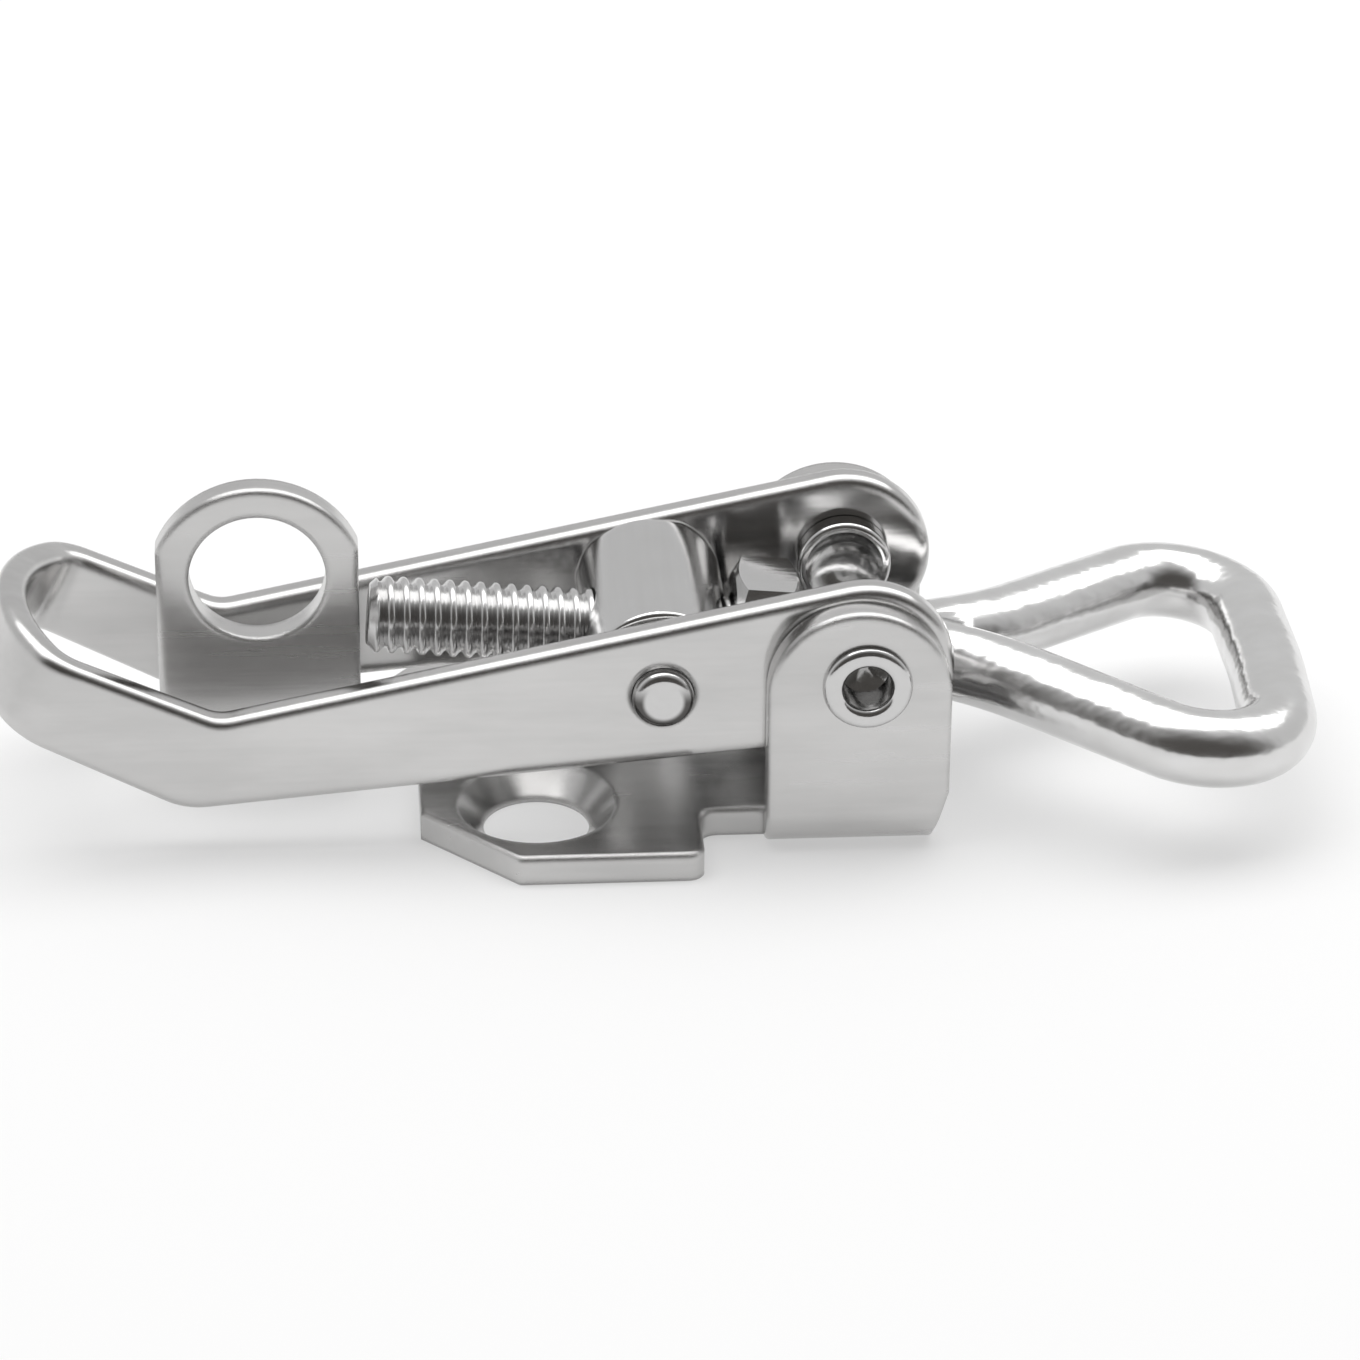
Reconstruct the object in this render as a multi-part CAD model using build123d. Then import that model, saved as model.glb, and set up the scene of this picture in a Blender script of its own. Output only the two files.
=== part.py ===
from build123d import *
import math
import os

# Over centre toggle latch with an adjustable eye bolt and a padlock tab, closed. Millimetres.
# X runs along the latch from the handle to the eye, with 0 at the lever pivot.
# Y runs across the latch, with 0 at its middle plane. Z is up, with 0 at the base underside.

# sheet metal, one gauge for the base plate and for the lever
sheet = 2.5
bend_inside = 0.7
bend_outside = bend_inside + sheet
edge_round = 0.4

# clearances
pin_play = 0.05
thread_play = 0.05
side_play = 0.15
head_play = 0.1
body_play = 0.2
nut_gap = 0.1
tail_gap = 0.4
cut_over = 1.0

# lever: one strip on edge, bent round to a U, with a raised handle
lever_half_width = 11.15
lever_inner = lever_half_width - sheet
lever_edge_round = 0.8
arm_end_radius = 7.35
kink_from_pivot = 52.2
kink_drop = 3.52
under_kink_from_pivot = 55.1
under_kink_drop = 11.65
under_slope = 5.35
handle_top_angle = 24.8
handle_under_angle = 28.2
handle_length = 19.2
handle_end_radius = 14.5
handle_corner_radius = 5.0
kink_round_top = 3.0
kink_round_under = 6.0
arm_end_blend = 4.0

# ears and pivot
ear_inner = lever_half_width + side_play
ear_outer = ear_inner + sheet
pivot_height = 15.37
ear_top_radius = 7.45
ear_top_offset = -0.53
ear_top_drop = 0.97
ear_foot_width = 13.8
ear_foot_rise = 1.4
ear_foot_taper = 3.8

# pivot rivets, semi tubular: a dished head inside, and a blind bore in the rolled outer end
rivet_shank = 3.0
rivet_bore = 1.95
rivet_bore_depth = 3.4
rivet_bore_cone = 59.0
rivet_lip = 0.6
rivet_outer_head = 3.65
rivet_outer_height = 0.8
rivet_outer_round = 0.65
rivet_inner_head = 3.95
rivet_inner_height = 1.7
rivet_inner_round = 0.5
rivet_dish_radius = 3.25
rivet_dish_depth = 1.6

# base plate
plate_half_width = 17.8
plate_left = -36.0
plate_step = -13.2
notch_radius = 1.4
near_chamfer = 7.8
plate_corner = 1.4
far_shoulder_in = 1.7
far_shoulder_angle = 51.0
screw_x = -26.5
screw_y = 8.75
screw_hole = 4.35
screw_sink = 6.6
screw_land = 0.3

# padlock tab on its tongue
tab_half_thickness = sheet / 2
tab_centre = -48.83
tab_width = 16.5
tab_top = 27.85
tab_top_radius = 8.9
tab_corner = 1.0
tab_hole = 5.6
tab_hole_height = 19.8
tongue_far = 8.2
tongue_corner = 1.5
tongue_far_blend = 2.5

# trunnion that carries the eye bolt
trunnion_from_pivot = 16.32
trunnion_drop = 1.87
trunnion_radius = 6.1
trunnion_round = 0.4
journal_radius = 2.52
journal_out = 1.2
journal_round = 0.8
rod_sink = 0.35

# eye bolt: a rod on a slight fall, and a D shaped loop
rod_fall = 5.4
rod_radius = 3.175
rod_tail_chamfer = 0.7
neck_start = 19.4
neck_angle = 23.8
neck_blend = 14.0
leg_split = 23.2
leg_blend = 25.0
leg_angle = 37.4
loop_corner = 6.4
loop_bar = 51.3
loop_bow = 0.8
loop_bow_radius = 60.0

# lock nut
nut_flats = 11.5
nut_height = 5.3
nut_face_radius = 5.3
nut_crown_angle = 30.0
nut_turn = 2.5
nut_sink = 0.35

# places that follow from the sizes
pivot = (0, pivot_height)
trunnion_at = (-trunnion_from_pivot, pivot_height - trunnion_drop)
trunnion_end = lever_inner - body_play
kink = (-kink_from_pivot, pivot_height - kink_drop)
under_kink = (-under_kink_from_pivot, pivot_height - under_kink_drop)
ear_left = ear_top_offset - ear_top_radius
ear_right = ear_top_offset + ear_top_radius
ear_arc_height = pivot_height - ear_top_drop
ear_foot = ear_left + ear_foot_width
notch_side = ear_outer - bend_outside
tab_left = tab_centre - tab_width / 2
tab_right = tab_centre + tab_width / 2
tongue_near = bend_outside - tab_half_thickness


def save(shape, name):
    os.makedirs("parts", exist_ok=True)
    export_step(shape, "parts/" + name + ".step")
    print(name, round(shape.volume), "mm3")


def along_y(face, y_from, y_to):
    """Solid from a face in the XZ plane, between two Y values."""
    return Pos(0, y_to, 0) * extrude(face, amount=y_to - y_from)


def cylinder_y(radius, place, y_from, y_to):
    middle = Pos(place[0], (y_from + y_to) / 2, place[1])
    return middle * Rot(90, 0, 0) * Cylinder(radius, y_to - y_from)


def from_point(start, angle, length):
    """Point at a length from start, with the angle in degrees in the XZ plane."""
    turn = math.radians(angle)
    return (start[0] + length * math.cos(turn), start[1] + length * math.sin(turn))


def tangent_point(start, centre, radius, above):
    """Where a line from start touches a circle, on its upper or its lower side."""
    dx = centre[0] - start[0]
    dz = centre[1] - start[1]
    reach = math.hypot(dx, dz)
    swing = math.degrees(math.asin(radius / reach))
    angle = math.degrees(math.atan2(dz, dx)) + (swing if above else -swing)
    return from_point(start, angle, math.sqrt(reach**2 - radius**2))


def section_across(face, x_from, x_to):
    """Solid from a face in the YZ plane, between two X values."""
    return Pos(x_from, 0, 0) * extrude(face, amount=x_to - x_from)


# lever


def lever_side():
    """Side profile of the lever: one arm and the handle, seen along Y."""
    touch = tangent_point(kink, pivot, arm_end_radius, True)
    reach = handle_length + sheet
    far_top = from_point(kink, 180 - handle_top_angle, reach)
    far_under = from_point(under_kink, 180 - handle_under_angle, reach)
    below_pivot = from_point(under_kink, under_slope, under_kink_from_pivot)
    outline = Polyline(touch, kink, far_top, far_under, under_kink, below_pivot, pivot, close=True)
    side = make_face(outline) + Pos(*pivot) * Circle(arm_end_radius)
    corners = side.vertices()
    side = fillet(corners.sort_by_distance((*kink, 0))[0], kink_round_top)
    side = fillet(side.vertices().sort_by_distance((*under_kink, 0))[0], kink_round_under)
    notch = side.vertices().filter_by(lambda v: v.Y < pivot_height and v.X > -arm_end_radius)
    side = fillet(notch, arm_end_blend)
    return Plane.XZ * side


def lever_plan():
    """Plan of the strip on the handle's slope: u from the kink, v across."""
    arms = 2 * kink_from_pivot
    centre = handle_length - handle_end_radius
    bar = Pos((handle_length - arms) / 2, 0) * Rectangle(handle_length + arms, 2 * lever_half_width)
    long_bar = Pos(-arms / 2, 0) * Rectangle(arms, 2 * lever_half_width)
    outer = (long_bar + Pos(centre, 0) * Circle(handle_end_radius)) & bar
    outer = fillet(outer.vertices().group_by(Axis.X)[-1], handle_corner_radius)
    inner = offset(outer, -sheet)
    way_out = Pos(-arms, 0) * Rectangle(4 * sheet, 2 * lever_inner)
    return outer - inner - way_out


def rim(faces, skip=None):
    """Edges that belong to just one of the faces, so not the seams between them."""
    edges = faces.edges()
    single = [e for e in edges if sum(e.is_same(other) for other in edges) == 1]
    return ShapeList(e for e in single if skip is None or not skip(e))


def make_lever():
    turn = math.radians(handle_top_angle)
    slope = Plane(
        origin=(kink[0], 0, kink[1]),
        x_dir=(-math.cos(turn), 0, math.sin(turn)),
        z_dir=(math.sin(turn), 0, math.cos(turn)),
    )
    strip = extrude(slope * lever_plan(), amount=2 * kink_from_pivot, both=True)
    lever = strip & along_y(lever_side(), -lever_half_width, lever_half_width)
    lever = fillet(rim(lever.faces().filter_by(is_strip_edge)), lever_edge_round)
    for place, radius in ((pivot, rivet_shank), (trunnion_at, journal_radius)):
        lever -= cylinder_y(radius + pin_play, place, -lever_half_width, lever_half_width)
    return lever


def is_strip_edge(face):
    """True for the narrow top and underside faces of the lever's strip."""
    width = 2 * lever_half_width * sheet
    upright = abs(face.normal_at().Y) > 0.01
    return not upright and not (face.geom_type == GeomType.CYLINDER and face.area > 2 * width)


# base plate


def channel_section():
    """YZ section of the plate with both ears: a U with round bends."""
    high = pivot_height + ear_top_radius
    outer = Pos(0, high / 2) * Rectangle(2 * ear_outer, high)
    outer = fillet(outer.vertices().group_by(Axis.Y)[0], bend_outside)
    inner = Pos(0, sheet + high / 2) * Rectangle(2 * ear_inner, high)
    inner = fillet(inner.vertices().group_by(Axis.Y)[0], bend_inside)
    return Plane.YZ * (outer - inner)


def ear_side():
    """Side profile of the ears: a round head on a foot that narrows at the eye's side."""
    foot_top = ear_foot_rise + ear_foot_taper
    outline = Polyline(
        (ear_left, 0),
        (ear_foot, 0),
        (ear_foot, ear_foot_rise),
        (ear_right, foot_top),
        (ear_right, ear_arc_height),
        (ear_left, ear_arc_height),
        close=True,
    )
    head = Pos(ear_top_offset, ear_arc_height) * Circle(ear_top_radius)
    side = make_face(outline) + head
    bend = side.vertices().filter_by(lambda v: v.X > ear_foot - 0.01 and 0 < v.Y <= foot_top)
    return Plane.XZ * fillet(bend, bend_inside)


def plate_outline():
    """Plan of the flat sheet: the wide pad, the necks to the ears and the tongue."""
    slant = math.tan(math.radians(far_shoulder_angle))
    shoulder = plate_left + far_shoulder_in
    tongue_root = shoulder - (plate_half_width - tongue_far) / slant
    points = [
        (ear_foot - sheet, -notch_side),
        (plate_step, -notch_side),
        (plate_step, -plate_half_width),
        (plate_left + near_chamfer, -plate_half_width),
        (plate_left, -plate_half_width + near_chamfer),
        (plate_left, tongue_near),
        (tab_left, tongue_near),
        (tab_left, tongue_far),
        (tongue_root, tongue_far),
        (shoulder, plate_half_width),
        (plate_step, plate_half_width),
        (plate_step, notch_side),
        (ear_foot - sheet, notch_side),
    ]
    plan = make_face(Polyline(*points, close=True))
    wide = plan.vertices().filter_by(lambda v: abs(v.Y) > plate_half_width - 0.01)
    plan = fillet(wide.group_by(Axis.X)[-1], plate_corner)
    necks = plan.vertices().filter_by(lambda v: abs(abs(v.Y) - notch_side) < 0.01)
    plan = fillet(necks.group_by(Axis.X)[0], notch_radius)
    root = plan.vertices().sort_by_distance((tongue_root, tongue_far, 0))[0]
    plan = fillet(root, tongue_far_blend)
    end = plan.vertices().sort_by_distance((tab_left, tongue_far, 0))[0]
    return fillet(end, tongue_corner)


def tab_section():
    """YZ section of the tab: it turns up from the tongue at the middle plane."""
    side = tongue_near + sheet
    outer = Pos((side - tab_half_thickness) / 2, tab_top / 2)
    outer = outer * Rectangle(side + tab_half_thickness, tab_top)
    outer = fillet(outer.vertices().sort_by_distance((-tab_half_thickness, 0, 0))[0], bend_outside)
    inner = Pos(tab_half_thickness + tab_top / 2, sheet + tab_top / 2) * Rectangle(tab_top, tab_top)
    inner = fillet(inner.vertices().sort_by_distance((tab_half_thickness, sheet, 0))[0], bend_inside)
    return Plane.YZ * (outer - inner)


def tab_side():
    """Side profile of the tab, with an arched top."""
    side = Pos(tab_centre, tab_top / 2) * Rectangle(tab_width, tab_top)
    arch = Pos(tab_centre, tab_top - tab_top_radius) * Circle(tab_top_radius)
    below = Pos(tab_centre, (tab_top - tab_top_radius) / 2) * Rectangle(tab_width, tab_top - tab_top_radius)
    side = (side & arch) + below
    shoulders = side.vertices().filter_by(lambda v: v.Y > tab_top - tab_top_radius)
    return Plane.XZ * fillet(shoulders, tab_corner)


def screw_holes():
    """Countersunk holes for the two fixing screws, as one cutter."""
    profile = Polyline(
        (0, -cut_over),
        (screw_hole, -cut_over),
        (screw_hole, screw_land),
        (screw_sink, sheet),
        (screw_sink, sheet + cut_over),
        (0, sheet + cut_over),
        close=True,
    )
    cutter = revolve(Plane.XZ * make_face(profile), Axis.Z)
    return Sketch() + [Pos(screw_x, side * screw_y, 0) * cutter for side in (-1, 1)]


def is_skin(face):
    """True for a face of the sheet itself, not one of its cut edges."""
    normal = face.normal_at()
    middle = face.center()
    if face.geom_type != GeomType.PLANE:
        return abs(normal.X) < 0.01 and middle.Z < bend_outside
    return abs(normal.Z) > 0.99 or (abs(normal.Y) > 0.99 and middle.Z > sheet)


def make_plate():
    """Flat sheet, with its free upper edges rounded and the seams left sharp."""
    plate = extrude(plate_outline(), amount=sheet)
    upper = plate.faces().sort_by(Axis.Z)[-1].edges()
    free = upper.filter_by(lambda e: (e @ 0.5).X < ear_left and abs((e @ 0.5).Y - tongue_near) > 0.01)
    return fillet(free, edge_round)


def make_ears():
    ears = section_across(channel_section(), ear_left, ear_right)
    ears = ears & along_y(ear_side(), -ear_outer, ear_outer)
    return fillet(rim(ears.faces().filter_by(is_skin)), edge_round)


def make_tab():
    tab = section_across(tab_section(), tab_left, tab_right)
    tab = tab & along_y(tab_side(), -tab_half_thickness, tongue_near + sheet)
    tab = fillet(rim(tab.faces().filter_by(is_skin)), edge_round)
    lock = (tab_centre, tab_hole_height)
    return tab - cylinder_y(tab_hole, lock, -tab_half_thickness, tab_half_thickness)


def make_base_plate():
    base = make_plate() + make_ears() + make_tab()
    base -= cylinder_y(rivet_shank, pivot, -ear_outer, ear_outer)
    return base - screw_holes()


# rivets, trunnion and nut


def ring_edge(shape, height, largest):
    """The largest or the smallest round edge of a turned shape at a height along Y."""
    rings = shape.edges().filter_by(lambda e: abs(e.center().Y - height) < 0.01)
    return rings.group_by(lambda e: e.radius)[-1 if largest else 0]


def make_rivet(side):
    """Rivet through one ear and one arm. Y grows outwards from the latch's middle."""
    head_start = lever_inner - head_play
    inner_end = head_start - rivet_inner_height
    outer_end = ear_outer + rivet_outer_height
    bore_end = outer_end - rivet_bore_depth
    cone = rivet_bore / math.tan(math.radians(rivet_bore_cone))
    profile = Polyline(
        (0, inner_end),
        (rivet_inner_head, inner_end),
        (rivet_inner_head, head_start),
        (rivet_shank, head_start),
        (rivet_shank, ear_outer),
        (rivet_outer_head, ear_outer),
        (rivet_outer_head, outer_end),
        (rivet_bore, outer_end),
        (rivet_bore, bore_end),
        (0, bore_end - cone),
        close=True,
    )
    rivet = revolve(make_face(profile), Axis.Y)
    rivet = fillet(ring_edge(rivet, outer_end, True), rivet_outer_round)
    rivet = fillet(ring_edge(rivet, outer_end, False), rivet_lip)
    rivet = fillet(ring_edge(rivet, inner_end, True), rivet_inner_round)
    dish = (rivet_dish_radius**2 + rivet_dish_depth**2) / (2 * rivet_dish_depth)
    rivet -= Pos(0, inner_end + rivet_dish_depth - dish, 0) * Sphere(dish)
    rivet = Pos(pivot[0], 0, pivot[1]) * rivet
    return rivet if side > 0 else mirror(rivet, Plane.XZ)


def rod_place(reach):
    """Place on the eye bolt's axis at a distance from the trunnion, Z along the bolt."""
    turn = math.radians(rod_fall)
    start = (trunnion_at[0], 0, trunnion_at[1])
    along = (math.cos(turn), 0, -math.sin(turn))
    plane = Plane(origin=start, x_dir=(0, 1, 0), z_dir=along)
    return plane.offset(reach)


def make_trunnion():
    outer_end = lever_half_width + journal_out
    profile = Polyline(
        (0, 0),
        (trunnion_radius, 0),
        (trunnion_radius, trunnion_end),
        (journal_radius, trunnion_end),
        (journal_radius, outer_end),
        (0, outer_end),
        close=True,
    )
    half = revolve(make_face(profile), Axis.Y)
    half = fillet(ring_edge(half, trunnion_end, True), trunnion_round)
    half = fillet(ring_edge(half, outer_end, True), journal_round)
    body = Pos(trunnion_at[0], 0, trunnion_at[1]) * (half + mirror(half, Plane.XZ))
    bore = rod_radius + thread_play
    body -= rod_place(0) * Cylinder(bore, 4 * trunnion_radius)
    mouth = bore + rod_sink
    cone = Cone(mouth, mouth + 2 * rod_sink, 2 * rod_sink)
    for side in (-1, 1):
        flip = Rot(0, 0 if side > 0 else 180, 0)
        body -= rod_place(0) * flip * Pos(0, 0, trunnion_radius) * cone
    return body


def make_lock_nut():
    across = nut_flats / 2 / math.cos(math.pi / 6)
    rise = (across - nut_face_radius) * math.tan(math.radians(nut_crown_angle))
    bore = rod_radius + thread_play
    profile = Polyline(
        (bore, nut_sink),
        (bore + nut_sink, 0),
        (nut_face_radius, 0),
        (across, rise),
        (across, nut_height - rise),
        (nut_face_radius, nut_height),
        (bore + nut_sink, nut_height),
        (bore, nut_height - nut_sink),
        close=True,
    )
    blank = revolve(Plane.XZ * make_face(profile), Axis.Z)
    hexagon = extrude(RegularPolygon(across, 6), amount=nut_height)
    return rod_place(trunnion_radius + nut_gap) * Rot(0, 0, -nut_turn) * (blank & hexagon)


# eye bolt


def bolt_path(tail):
    """Middle line of the rod and one half of the eye, to just past the middle plane."""
    lean = math.tan(math.radians(leg_angle))
    spread = math.tan(math.radians(neck_angle))
    neck = (leg_split * lean - neck_start * spread) / (lean - spread)
    bow = loop_bow / (lean * (loop_bar - leg_split))
    corner = (loop_bar - leg_split) / (1 + bow * lean)
    points = [
        (-tail, 0),
        (neck_start, 0),
        (neck, spread * (neck - neck_start)),
        (leg_split + corner, lean * corner),
        (loop_bar, 0),
        (leg_split + corner, -lean * corner),
    ]
    return FilletPolyline(*points, radius=[neck_blend, leg_blend, loop_corner, loop_bow_radius])


def make_eye_bolt():
    turn = math.radians(rod_fall)
    flat = Plane(
        origin=(trunnion_at[0], 0, trunnion_at[1]),
        x_dir=(math.cos(turn), 0, -math.sin(turn)),
        z_dir=(math.sin(turn), 0, math.cos(turn)),
    )
    tail_x = tab_right + tail_gap + rod_radius * math.sin(turn)
    tail = (trunnion_at[0] - tail_x) / math.cos(turn)
    wire = sweep(Plane.YZ.offset(-tail) * Circle(rod_radius), bolt_path(tail))
    half = wire & Pos(0, loop_bar) * Box(4 * loop_bar, 2 * loop_bar, 2 * loop_bar)
    bolt = half + mirror(half, Plane.XZ)
    end = bolt.faces().sort_by(Axis.X)[0]
    return flat * chamfer(end.edges(), rod_tail_chamfer)


if __name__ == "__main__":
    save(make_base_plate(), "base_plate")
    save(make_lever(), "lever")
    save(make_trunnion(), "trunnion")
    save(make_eye_bolt(), "eye_bolt")
    save(make_lock_nut(), "lock_nut")
    save(make_rivet(-1), "pivot_rivet_near")
    save(make_rivet(1), "pivot_rivet_far")
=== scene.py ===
import math

import bmesh
import bpy
from mathutils import Matrix, Vector


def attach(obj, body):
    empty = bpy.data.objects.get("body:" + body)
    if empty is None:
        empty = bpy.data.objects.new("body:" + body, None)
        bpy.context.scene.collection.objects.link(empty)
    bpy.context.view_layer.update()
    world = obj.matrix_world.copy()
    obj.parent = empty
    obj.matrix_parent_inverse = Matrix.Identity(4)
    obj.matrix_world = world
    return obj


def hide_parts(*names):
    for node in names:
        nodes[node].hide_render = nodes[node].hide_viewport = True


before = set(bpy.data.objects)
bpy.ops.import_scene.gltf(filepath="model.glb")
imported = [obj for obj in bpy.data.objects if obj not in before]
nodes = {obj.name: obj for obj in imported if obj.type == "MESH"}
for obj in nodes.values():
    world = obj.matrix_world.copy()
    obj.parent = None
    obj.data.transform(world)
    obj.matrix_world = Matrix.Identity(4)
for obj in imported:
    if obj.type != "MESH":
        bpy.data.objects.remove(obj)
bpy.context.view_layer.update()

print("latch loaded:", ", ".join(sorted(nodes)))


# shader maths: a wrapped socket can be added, multiplied and so on

class Value:
    def __init__(self, graph, socket):
        self.graph = graph
        self.socket = socket

    def __add__(self, other):
        return self.graph.math("ADD", self, other)

    def __sub__(self, other):
        return self.graph.math("SUBTRACT", self, other)

    def __mul__(self, other):
        return self.graph.math("MULTIPLY", self, other)

    def __rsub__(self, other):
        return self.graph.math("SUBTRACT", other, self)

    __radd__ = __add__
    __rmul__ = __mul__


class Graph:
    def __init__(self, owner):
        self.owner = owner
        owner.use_nodes = True
        self.tree = owner.node_tree
        self.tree.nodes.clear()

    def node(self, kind, settings=None, output=0, **inputs):
        made = self.tree.nodes.new("ShaderNode" + kind)
        for key, setting in (settings or {}).items():
            if key == "stops":
                self.setStops(made.color_ramp, setting)
            else:
                setattr(made, key, setting)
        for key, given in inputs.items():
            index = key.replace("_", " ").strip()
            self.feed(made.inputs[int(index) if index.isdigit() else index], given)
        return Value(self, made.outputs[output]) if len(made.outputs) else None

    def feed(self, target, given):
        if isinstance(given, Value):
            self.tree.links.new(given.socket, target)
        else:
            target.default_value = given

    def setStops(self, ramp, stops):
        while len(ramp.elements) < len(stops):
            ramp.elements.new(1.0)
        for element, (place, shade) in zip(ramp.elements, stops):
            element.position = place
            element.color = (shade, shade, shade, 1.0)

    def math(self, operation, first, second=0.0):
        made = self.tree.nodes.new("ShaderNodeMath")
        made.operation = operation
        self.feed(made.inputs[0], first)
        self.feed(made.inputs[1], second)
        return Value(self, made.outputs[0])

    def clamp(self, given):
        return self.node("Clamp", Value=given)

    def step(self, given, low, high):
        # a soft step from 0 at low to 1 at high
        smooth = {"interpolation_type": "SMOOTHSTEP"}
        return self.node("MapRange", smooth, Value=given, From_Min=low, From_Max=high)

    def noise(self, scale, stretch, detail, rough):
        coordinates = self.node("TexCoord", output="Object")
        where = self.node("Mapping", {"vector_type": "POINT"}, Vector=coordinates, Scale=stretch)
        return self.node("TexNoise", Vector=where, Scale=scale, Detail=detail, Roughness=rough)

    def blendColour(self, factor, low, high):
        made = self.tree.nodes.new("ShaderNodeMix")
        made.data_type = "RGBA"
        self.feed(made.inputs[0], factor)
        self.feed(made.inputs[6], low)
        self.feed(made.inputs[7], high)
        return Value(self, made.outputs[2])

    def finish(self, **inputs):
        surface = self.node("BsdfPrincipled", None, 0, **inputs)
        self.node("OutputMaterial", Surface=surface)
        return self.owner

    def metal(self, colour, rough, bump):
        return self.finish(Base_Color=colour, Metallic=1.0, Roughness=self.clamp(rough), Normal=bump)


def grey(level, warm=0.0):
    return (level * (1.0 + warm), level, level * (1.0 - warm), 1.0)


# satin plated sheet: fine straight grain along the part, faint stains, edges that shade softly

sheetFinish = {
    "bright": 0.66,
    "dull": 0.51,
    "warm": 0.008,
    "rough": 0.16,
    "roughSpread": 0.08,
    "grainScale": 900.0,
    "grainStretch": (0.035, 1.0, 1.0),
    "grainShare": 0.45,
    "grainBump": 0.03,
    "grainHeight": 0.0002,
    "cloudScale": 150.0,
    "cloudStretch": (0.3, 1.0, 1.0),
    "cloudStops": ((0.35, 0.0), (0.7, 1.0)),
    "edgeRadius": 0.0009,
}


def sheetSteel(name, finish):
    graph = Graph(bpy.data.materials.new(name))
    grain = graph.noise(finish["grainScale"], finish["grainStretch"], 3.0, 0.7)
    cloud = graph.noise(finish["cloudScale"], finish["cloudStretch"], 4.0, 0.6)
    blotch = graph.node("ValToRGB", {"stops": finish["cloudStops"]}, Fac=cloud)
    shade = graph.clamp(grain * finish["grainShare"] + blotch * (1.0 - finish["grainShare"]))
    dull, bright = (grey(finish[tone], finish["warm"]) for tone in ("dull", "bright"))
    colour = graph.blendColour(shade, dull, bright)
    spread = finish["roughSpread"]
    rough = finish["rough"] + (grain - 0.5) * spread + (cloud - 0.5) * spread
    rolled = graph.node("Bevel", {"samples": 6}, Radius=finish["edgeRadius"])
    bump = graph.node(
        "Bump", Strength=finish["grainBump"], Distance=finish["grainHeight"], Height=grain, Normal=rolled
    )
    return graph.metal(colour, rough, bump)


# bright plated wire: glossy with small dents that break up its reflections

wireFinish = {
    "bright": 0.76,
    "dull": 0.64,
    "rough": 0.20,
    "roughSpread": 0.05,
    "dentScale": 420.0,
    "dentDepth": 0.36,
    "dentHeight": 0.0004,
    "dentWarm": 0.01,
    "scuffScale": 1800.0,
    "scuffMiddle": 0.4,
    "scuffShare": 0.02,
}


def wireSteel(name, finish):
    graph = Graph(bpy.data.materials.new(name))
    dents = graph.noise(finish["dentScale"], (0.6, 1.0, 1.0), 2.0, 0.5)
    scuffs = graph.noise(finish["scuffScale"], (0.4, 1.0, 1.0), 2.0, 0.6)
    colour = graph.blendColour(dents, grey(finish["dull"], finish["dentWarm"]), grey(finish["bright"]))
    rough = finish["rough"] + (scuffs - finish["scuffMiddle"]) * finish["roughSpread"]
    height = dents + scuffs * finish["scuffShare"]
    bump = graph.node("Bump", Strength=finish["dentDepth"], Distance=finish["dentHeight"], Height=height)
    return graph.metal(colour, rough, bump)


# turned steel: rings round the axis of the turning, semi bright

turnedFinish = {
    "bright": 0.66,
    "dull": 0.56,
    "rough": 0.18,
    "roughSpread": 0.10,
    "ringScale": 1400.0,
    "ringBump": 0.06,
    "ringHeight": 0.0002,
    "ringWarm": 0.008,
    "cloudScale": 160.0,
}


# painted shade that darkens the lower half of the staked rims of the trunnion's journals, where shade
# falls

rimPaintedShade = {
    "middle": (-0.01632, 0.0, 0.0135),
    "inside": 0.00140,
    "outside": 0.00185,
    "face": 0.0109,
    "low": -0.0002,
    "high": 0.0015,
    "edge": 0.0001,
    "shade": 0.10,
    "warm": 0.03,
}


def paintedShadeMask(graph):
    # painted shade mask: a ring round each journal end face, fading out above the axis
    where = graph.node("TexCoord", output="Object")
    across, along, height = (graph.node("SeparateXYZ", None, part, Vector=where) for part in (0, 1, 2))
    middleX, _, middleZ = rimPaintedShade["middle"]
    fromX, fromZ = across - middleX, height - middleZ
    radius = graph.math("SQRT", fromX * fromX + fromZ * fromZ)
    ring = graph.step(radius, rimPaintedShade["inside"], rimPaintedShade["outside"])
    face = rimPaintedShade["face"]
    ends = graph.step(graph.math("ABSOLUTE", along), face, face + rimPaintedShade["edge"])
    above = graph.step(height, middleZ + rimPaintedShade["low"], middleZ + rimPaintedShade["high"])
    return ring * ends * (1.0 - above)


def turnedSteel(name, finish, stretch, paintRimShade=False):
    graph = Graph(bpy.data.materials.new(name))
    rings = graph.noise(finish["ringScale"], stretch, 2.0, 0.6)
    cloud = graph.noise(finish["cloudScale"], (1.0, 1.0, 1.0), 3.0, 0.5)
    shade = graph.clamp(rings * 0.5 + cloud * 0.5)
    colour = graph.blendColour(shade, grey(finish["dull"], finish["ringWarm"]), grey(finish["bright"]))
    # painted shade on the lower half of the journal rims
    if paintRimShade:
        paintedShade = grey(rimPaintedShade["shade"], rimPaintedShade["warm"])
        colour = graph.blendColour(paintedShadeMask(graph), colour, paintedShade)
    spread = finish["roughSpread"]
    rough = finish["rough"] + (cloud - 0.5) * spread + (rings - 0.5) * spread
    bump = graph.node("Bump", Strength=finish["ringBump"], Distance=finish["ringHeight"], Height=rings)
    return graph.metal(colour, rough, bump)


def dress(piece, material):
    piece.data.materials.clear()
    piece.data.materials.append(material)


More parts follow.
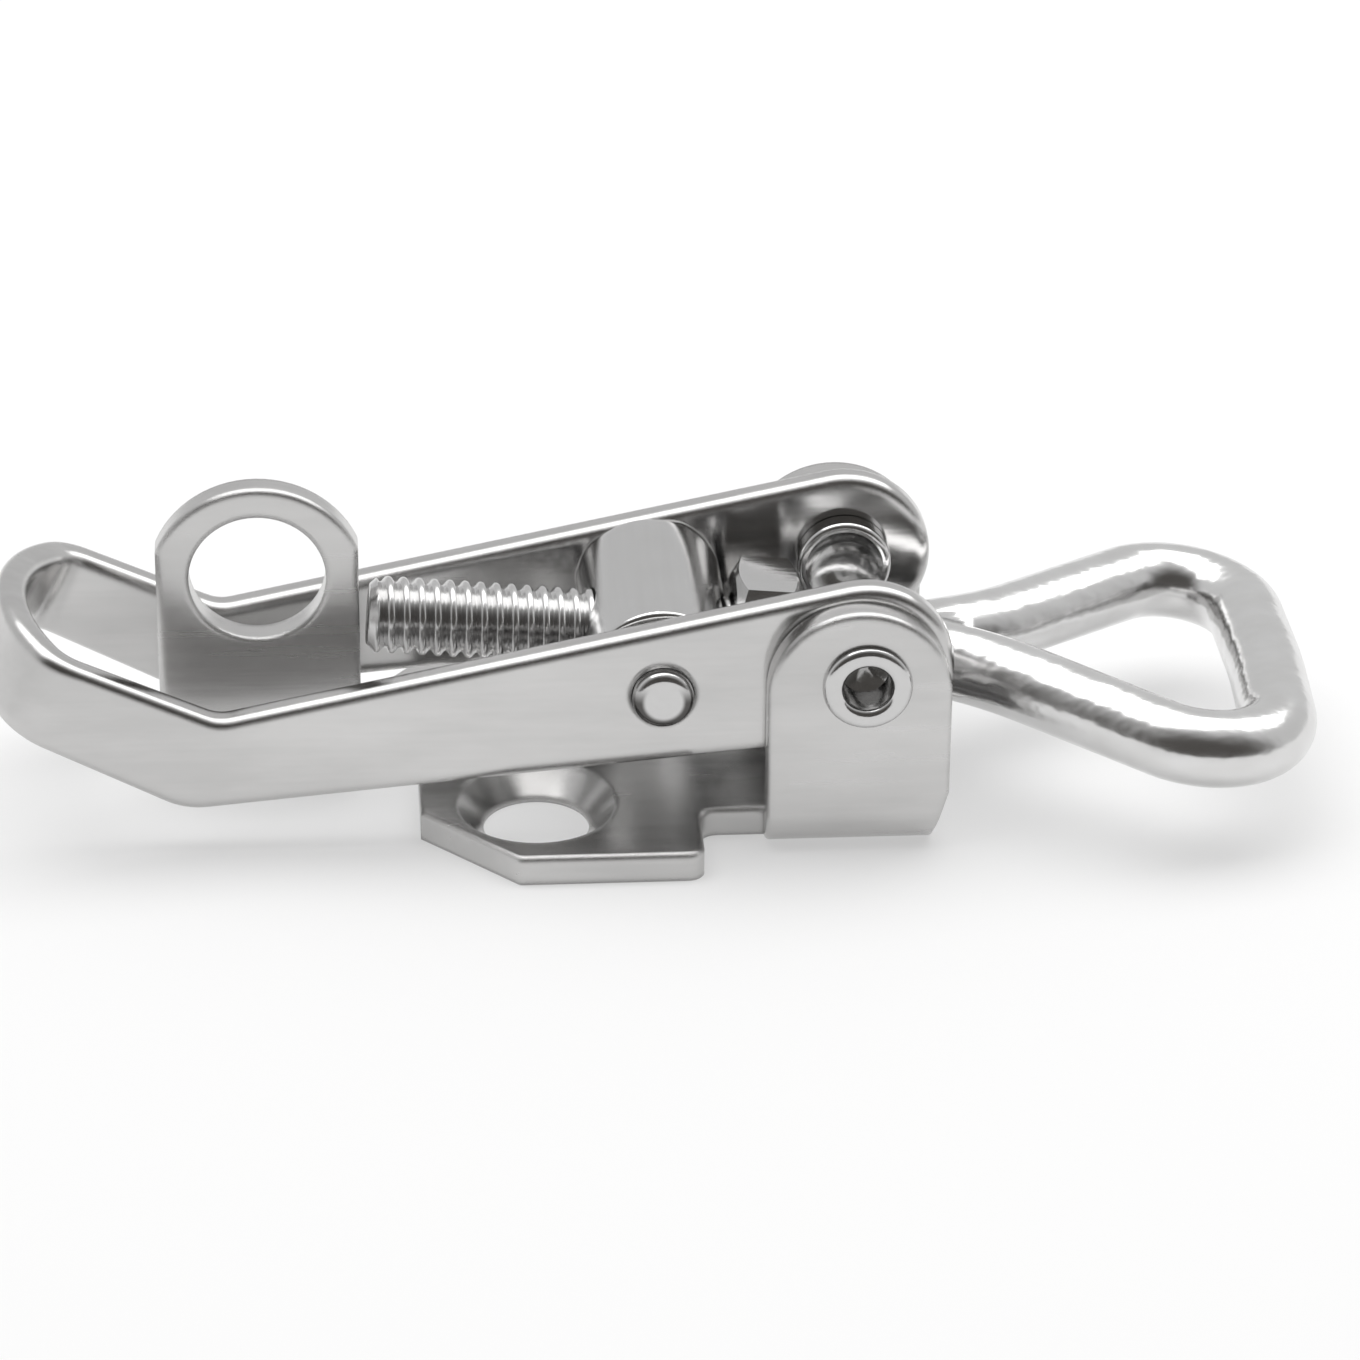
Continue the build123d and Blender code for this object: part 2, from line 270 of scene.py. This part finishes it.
baseSteel = sheetSteel("basePlateSatin", dict(sheetFinish, rough=0.26, edgeRadius=0.0008))
leverSteel = sheetSteel("leverSatin", dict(sheetFinish, rough=0.15))
boltSteel = wireSteel("eyeBoltBright", wireFinish)
threadFinish = dict(wireFinish, rough=0.24, dentDepth=0.10, bright=0.68, dull=0.52)
threadSteel = wireSteel("threadSatin", threadFinish)
# the trunnion carries painted shade under its journal rims
pinSteel = turnedSteel("trunnionTurned", turnedFinish, (1.0, 0.05, 1.0), paintRimShade=True)
rivetSteel = turnedSteel("rivetBright", dict(turnedFinish, rough=0.16), (1.0, 1.0, 1.0))
nutSteel = turnedSteel("nutBright", dict(turnedFinish, rough=0.15), (0.2, 1.0, 1.0))
dress(nodes["base_plate"], baseSteel)
dress(nodes["lever"], leverSteel)
dress(nodes["trunnion"], pinSteel)
dress(nodes["lock_nut"], nutSteel)
for name in ("pivot_rivet_near", "pivot_rivet_far"):
    dress(nodes[name], rivetSteel)
print("finishes done")


# eye bolt: rolled thread on the rod, then the plain eye

bolt = {
    "trunnion": (-0.01632, 0.0, 0.0135),
    "fall": 5.4,
    "radius": 0.003175,
    "tail": 0.02367,
    "threadEnd": 0.0158,
    "pitch": 0.00127,
    "depth": 0.0005,
    "point": 0.0007,
    "steps": 72,
    "shares": 10,
    "crestPower": 1.5,
    "fadePitches": 1.5,
    "overlap": 0.0003,
}


def boltFrame():
    turn = math.radians(bolt["fall"])
    along = Vector((math.cos(turn), 0.0, -math.sin(turn)))
    across = Vector((0.0, 1.0, 0.0))
    up = along.cross(across)
    place = Matrix((across, up, along)).transposed().to_4x4()
    place.translation = Vector(bolt["trunnion"])
    return place


def threadProfile():
    # depth below the crest over one pitch, with a broad round crest and a narrower root
    shares = [step / bolt["shares"] for step in range(bolt["shares"])]
    return [(share, (0.5 - 0.5 * math.cos(math.tau * share)) ** bolt["crestPower"]) for share in shares]


def threadMesh():
    profile = threadProfile()
    start, end = -bolt["tail"], bolt["threadEnd"]
    fadeLength = bolt["fadePitches"] * bolt["pitch"]
    turns = int((end - start) / bolt["pitch"]) + 3
    rows = []
    mesh = bmesh.new()
    for ring in range(turns):
        for share, depth in profile:
            row = []
            for step in range(bolt["steps"] + 1):
                angle = math.tau * step / bolt["steps"]
                along = start + (ring - 1 + share + step / bolt["steps"]) * bolt["pitch"]
                along = min(max(along, start), end)
                fade = min(1.0, max(0.0, (end - along) / fadeLength))
                radius = bolt["radius"] - depth * bolt["depth"] * fade
                radius = min(radius, bolt["radius"] - bolt["point"] + (along - start))
                point = (radius * math.cos(angle), radius * math.sin(angle), along)
                row.append(mesh.verts.new(point))
            rows.append(row)
    for low, high in zip(rows, rows[1:]):
        for step in range(bolt["steps"]):
            mesh.faces.new((low[step], low[step + 1], high[step + 1], high[step]))
    bmesh.ops.remove_doubles(mesh, verts=mesh.verts, dist=1e-7)
    bmesh.ops.dissolve_degenerate(mesh, edges=mesh.edges, dist=1e-7)
    openEdges = [edge for edge in mesh.edges if edge.is_boundary]
    bmesh.ops.holes_fill(mesh, edges=openEdges, sides=0)
    bmesh.ops.recalc_face_normals(mesh, faces=mesh.faces)
    return mesh


def addPiece(name, mesh, body, material, place=None):
    data = bpy.data.meshes.new(name)
    mesh.to_mesh(data)
    mesh.free()
    if place is not None:
        data.transform(place)
    piece = bpy.data.objects.new(name, data)
    bpy.context.scene.collection.objects.link(piece)
    dress(piece, material)
    for face in data.polygons:
        face.use_smooth = True
    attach(piece, body)
    return piece


def eyeMesh():
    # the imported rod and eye, cut off where the thread starts
    mesh = bmesh.new()
    mesh.from_mesh(nodes["eye_bolt"].data)
    bmesh.ops.remove_doubles(mesh, verts=mesh.verts, dist=1e-7)
    place = boltFrame()
    along = place.to_3x3() @ Vector((0.0, 0.0, 1.0))
    cut = Vector(bolt["trunnion"]) + along * (bolt["threadEnd"] - bolt["overlap"])
    everything = list(mesh.verts) + list(mesh.edges) + list(mesh.faces)
    bmesh.ops.bisect_plane(mesh, geom=everything, plane_co=cut, plane_no=along, clear_inner=True)
    return mesh


eye = addPiece("eyeWire", eyeMesh(), "eye_bolt", boltSteel)
rod = addPiece("rodThread", threadMesh(), "eye_bolt", threadSteel, boltFrame())
for piece, angle in ((eye, 40.0), (rod, 50.0)):
    piece.data.set_sharp_from_angle(angle=math.radians(angle))
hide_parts("eye_bolt")
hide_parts("eye_bolt")
print("thread and eye done:", len(rod.data.polygons), "faces on the rod")


# pale floor, one soft light above, and air that is dark in front and pale behind

studio = {
    "floorReach": 6.0,
    "floor": 0.50,
    "floorGlow": 0.42,
    "front": 0.085,
    "frontWarm": 0.06,
    "back": 0.70,
    "frontEdge": -0.70,
    "backEdge": -0.05,
    "topPlace": (0.2, 0.28, 0.8),
    "topSize": (1.6, 0.66),
    "topTurn": 13.0,
    "topPower": 7.5,
}


def addFloor():
    data = bpy.data.meshes.new("floor")
    reach = studio["floorReach"]
    corners = [(-reach, -reach, 0), (reach, -reach, 0), (reach, reach, 0), (-reach, reach, 0)]
    data.from_pydata(corners, [], [(0, 1, 2, 3)])
    floor = bpy.data.objects.new("floor", data)
    bpy.context.scene.collection.objects.link(floor)
    graph = Graph(bpy.data.materials.new("paleFloor"))
    pale = graph.finish(
        Base_Color=grey(studio["floor"]),
        Roughness=0.9,
        Emission_Color=grey(1.0),
        Emission_Strength=studio["floorGlow"],
    )
    dress(floor, pale)


def addLight(name, place, size, turn, power):
    # a rectangle that faces straight down, turned about the vertical
    light = bpy.data.lights.new(name, "AREA")
    light.shape = "RECTANGLE"
    light.size, light.size_y = size
    light.energy = power
    lamp = bpy.data.objects.new(name, light)
    lamp.location = place
    lamp.rotation_euler = (0.0, 0.0, math.radians(turn))
    bpy.context.scene.collection.objects.link(lamp)
    return lamp


def addWorld():
    world = bpy.data.worlds.new("studioAir")
    graph = Graph(world)
    depth = graph.node("SeparateXYZ", None, 1, Vector=graph.node("TexCoord"))
    share = graph.step(depth, studio["frontEdge"], studio["backEdge"])
    level = graph.blendColour(share, grey(studio["front"], studio["frontWarm"]), grey(studio["back"]))
    air = graph.node("Background", Color=level, Strength=1.0)
    graph.node("OutputWorld", Surface=air)
    bpy.context.scene.world = world


addFloor()
addLight("softTop", studio["topPlace"], studio["topSize"], studio["topTurn"], studio["topPower"])
addWorld()
bpy.context.scene.view_settings.view_transform = "Standard"
print("studio done")


view = {
    "place": (-0.04499, -0.43205, 0.24672),
    "forward": (0.06238, 0.87424, -0.48148),
    "roll": 0.5624,
    "lens": 157.94,
}


def addCamera():
    camera = bpy.data.cameras.new("camera")
    camera.sensor_width = 36.0
    camera.sensor_fit = "HORIZONTAL"
    camera.lens = view["lens"]
    camera.clip_start = 0.01
    camera.clip_end = 20.0
    holder = bpy.data.objects.new("camera", camera)
    bpy.context.scene.collection.objects.link(holder)
    forward = Vector(view["forward"]).normalized()
    level = forward.cross(Vector((0.0, 0.0, 1.0))).normalized()
    top = level.cross(forward)
    roll = math.radians(view["roll"])
    right = level * math.cos(roll) + top * math.sin(roll)
    up = top * math.cos(roll) - level * math.sin(roll)
    turn = Matrix((right, up, -forward)).transposed().to_4x4()
    holder.matrix_world = Matrix.Translation(view["place"]) @ turn
    bpy.context.scene.camera = holder


addCamera()
bpy.context.view_layer.update()
print("camera done")
